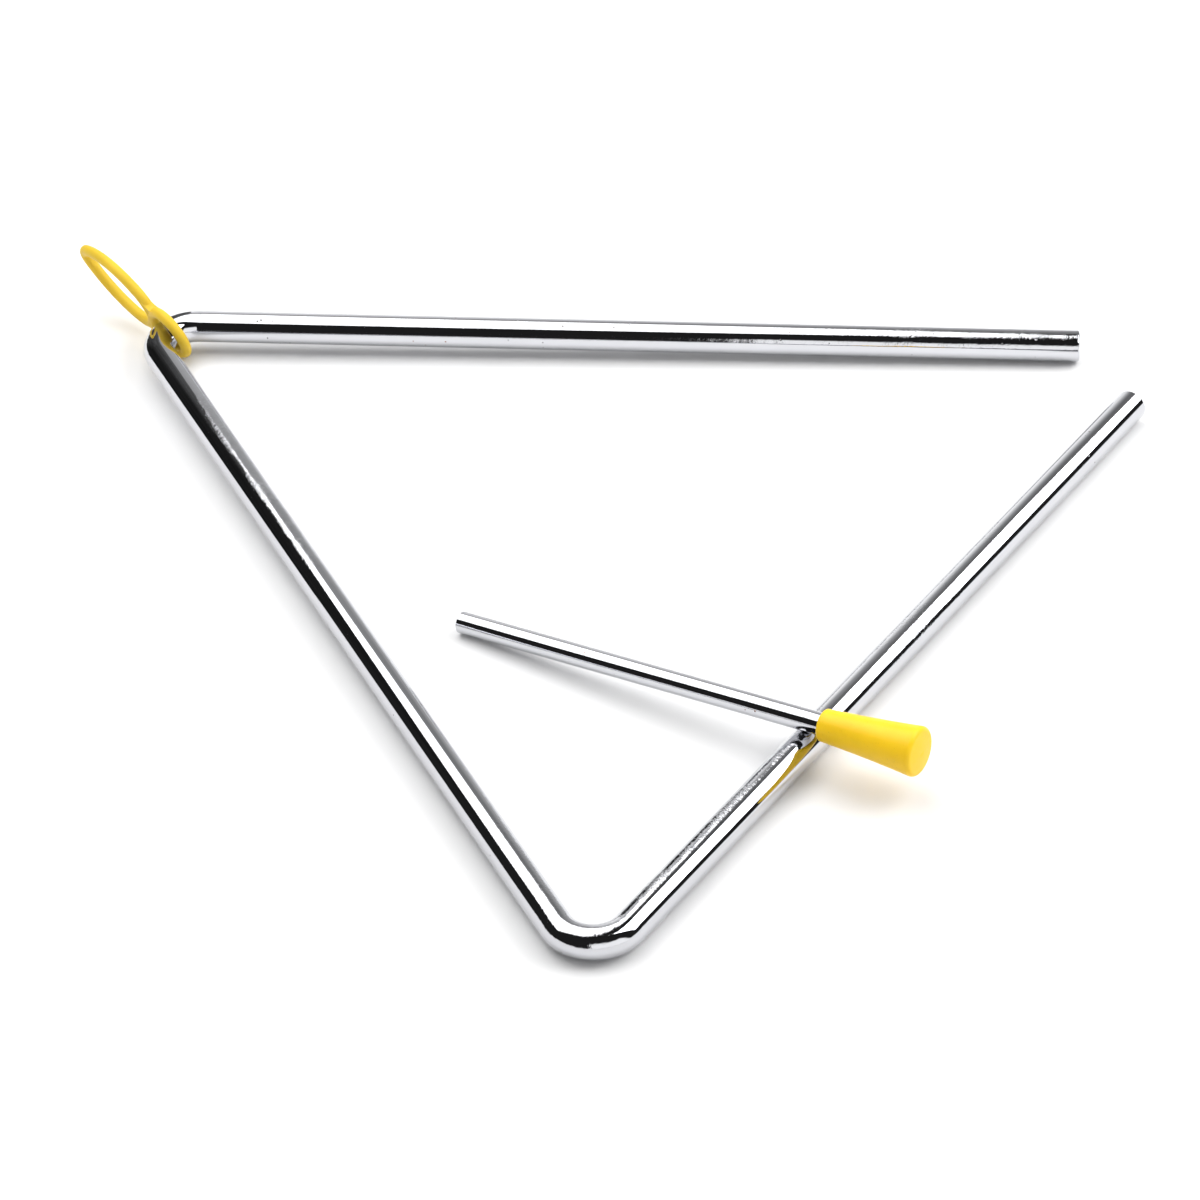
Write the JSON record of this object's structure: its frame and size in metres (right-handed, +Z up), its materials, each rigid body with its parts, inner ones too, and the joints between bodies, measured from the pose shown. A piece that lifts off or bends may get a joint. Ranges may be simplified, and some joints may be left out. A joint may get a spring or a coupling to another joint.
{
  "type": "percussion triangle with beater",
  "caption": "Round steel bar bent into an open triangle, hung from a moulded finger loop, with a short metal beater in a tapered grip.",
  "frame": {"origin": "middle of the footprint on the table, with the triangle lying flat", "axes": "+X along the bar from the finger loop's corner to its free end, +Y away from the far bend, +Z up from the table"},
  "size_m": [0.2036, 0.1834, 0.0162],
  "materials": {
    "bar_chrome": "bright plated steel bar, mirror polish with fine pits and scuffs",
    "beater_chrome": "bright plated steel rod, mirror polish",
    "loop_plastic": "soft yellow moulded plastic, satin",
    "grip_plastic": "yellow moulded plastic, satin to slightly glossy"
  },
  "bodies": {
    "triangle": {"triangle_rod": "bar_chrome"},
    "loop": {"finger_loop": "loop_plastic"},
    "beater": {"beater_rod": "beater_chrome", "beater_grip": "grip_plastic"}
  },
  "joints": [
    {"name": "loop_swing", "type": "hinge", "parent": "triangle", "child": "loop", "pos_m": [-0.08253, 0.07381, 0.00542], "axis": [0.6074, 0.7944, -0.0018], "range_deg": [-11, 160]},
    {"name": "beater_lift", "type": "slide", "parent": "triangle", "child": "beater", "axis": [0, 0, 1], "range_m": [0, 0.08]}
  ]
}
